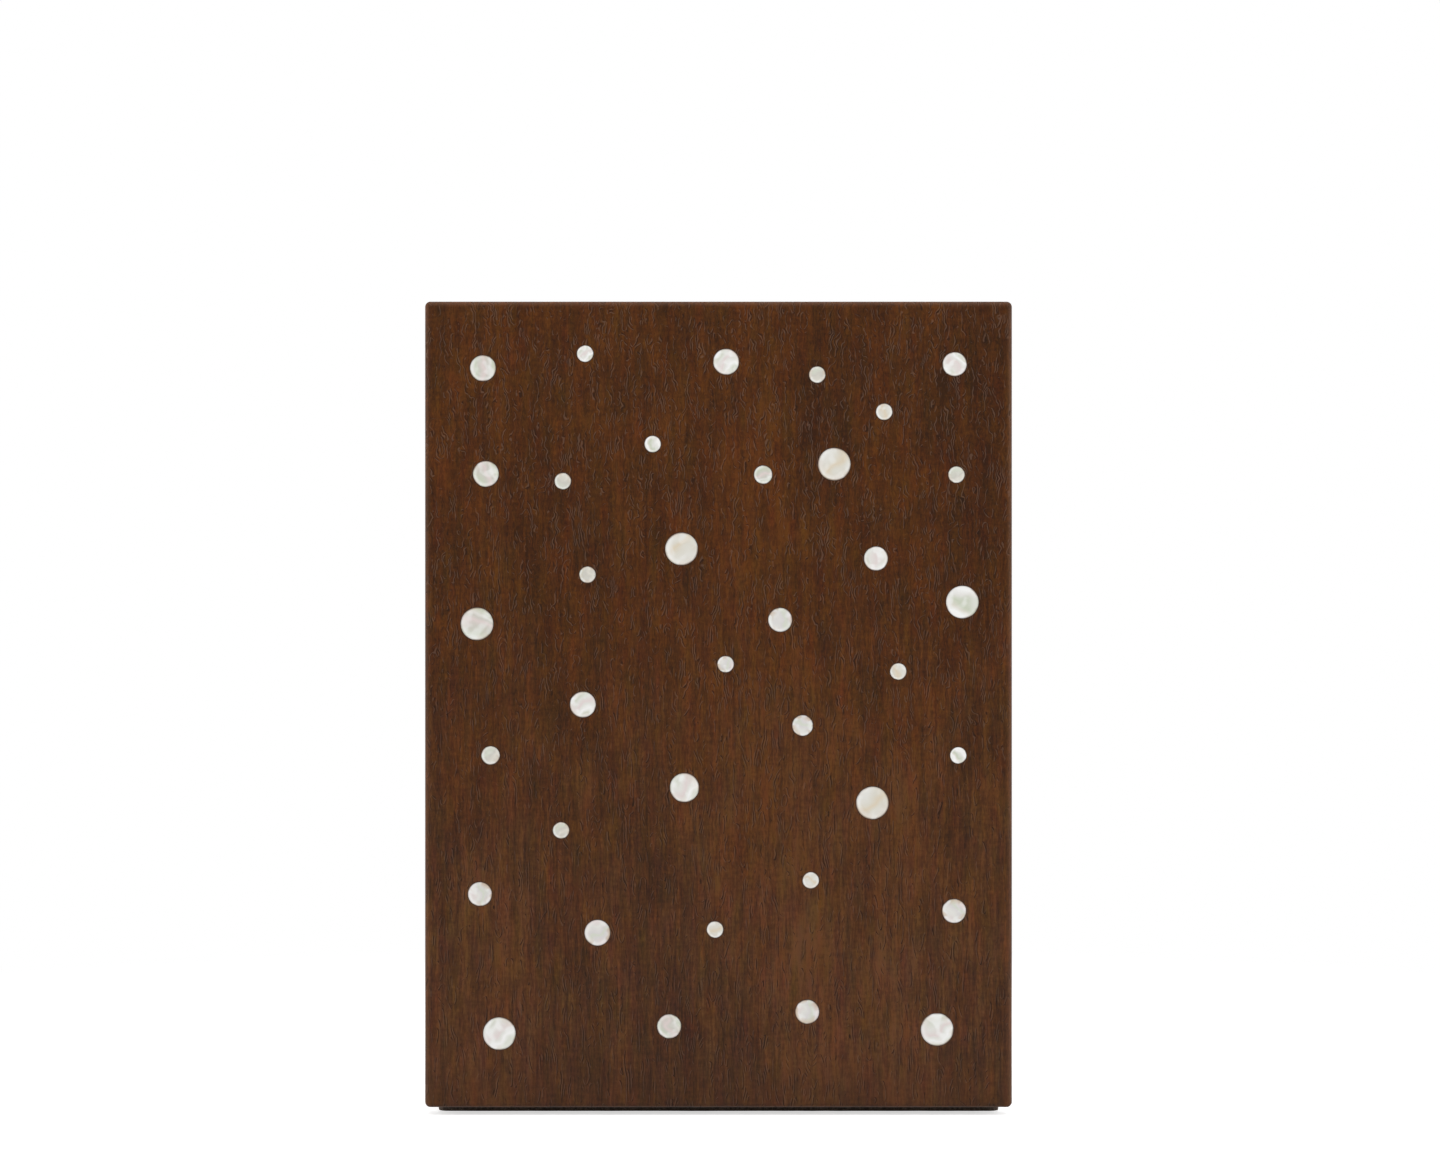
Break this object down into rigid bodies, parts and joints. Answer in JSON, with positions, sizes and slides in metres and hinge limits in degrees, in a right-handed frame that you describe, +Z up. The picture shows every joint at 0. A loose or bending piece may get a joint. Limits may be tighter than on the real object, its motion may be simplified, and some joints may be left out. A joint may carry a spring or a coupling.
{
  "type": "inlaid wooden box",
  "caption": "Upright dark wood keepsake box: a felt-lined mitred case behind a hinged front lid inlaid with scattered round shell discs and held shut by magnets.",
  "frame": {"origin": "on the floor under the middle of the box's bounding box", "axes": "+X to the right seen from the front, +Y to the back, +Z up; the inlaid lid faces -Y"},
  "size_m": [0.22, 0.1504, 0.305],
  "materials": {
    "dark_wood": "dark brown stained hardwood, open pores, satin lacquer",
    "pearl": "polished nacre, near white with soft bands of pale green, pink and beige",
    "brass": "satin brass with light tarnish",
    "magnet_steel": "bright nickel plate",
    "lining_felt": "short-pile felt, dark wine red",
    "pad_felt": "dense dark grey-brown felt"
  },
  "bodies": {
    "case": {"left_side": "dark_wood", "right_side": "dark_wood", "top_panel": "dark_wood", "bottom_panel": "dark_wood", "back_panel": "dark_wood", "mitre_splines": "dark_wood", "lower_hinge_case_leaf": "brass", "lower_hinge_pin": "brass", "upper_hinge_case_leaf": "brass", "upper_hinge_pin": "brass", "hinge_case_screws": "brass", "case_magnets": "magnet_steel", "back_lining": "lining_felt", "left_lining": "lining_felt", "right_lining": "lining_felt", "top_lining": "lining_felt", "bottom_lining": "lining_felt", "base_pad": "pad_felt"},
    "lid": {"lid_panel": "dark_wood", "pearl_disc_01": "pearl", "pearl_disc_02": "pearl", "pearl_disc_03": "pearl", "pearl_disc_04": "pearl", "pearl_disc_05": "pearl", "pearl_disc_06": "pearl", "pearl_disc_07": "pearl", "pearl_disc_08": "pearl", "pearl_disc_09": "pearl", "pearl_disc_10": "pearl", "pearl_disc_11": "pearl", "pearl_disc_12": "pearl", "pearl_disc_13": "pearl", "pearl_disc_14": "pearl", "pearl_disc_15": "pearl", "pearl_disc_16": "pearl", "pearl_disc_17": "pearl", "pearl_disc_18": "pearl", "pearl_disc_19": "pearl", "pearl_disc_20": "pearl", "pearl_disc_21": "pearl", "pearl_disc_22": "pearl", "pearl_disc_23": "pearl", "pearl_disc_24": "pearl", "pearl_disc_25": "pearl", "pearl_disc_26": "pearl", "pearl_disc_27": "pearl", "pearl_disc_28": "pearl", "pearl_disc_29": "pearl", "pearl_disc_30": "pearl", "pearl_disc_31": "pearl", "pearl_disc_32": "pearl", "pearl_disc_33": "pearl", "pearl_disc_34": "pearl", "pearl_disc_35": "pearl", "pearl_disc_36": "pearl", "lower_hinge_lid_leaf": "brass", "upper_hinge_lid_leaf": "brass", "hinge_lid_screws": "brass", "lid_magnets": "magnet_steel"}
  },
  "joints": [
    {"name": "lid_hinge", "type": "hinge", "parent": "case", "child": "lid", "pos_m": [-0.1084, -0.063, 0.154], "axis": [0, 0, -1], "range_deg": [0, 180]}
  ]
}
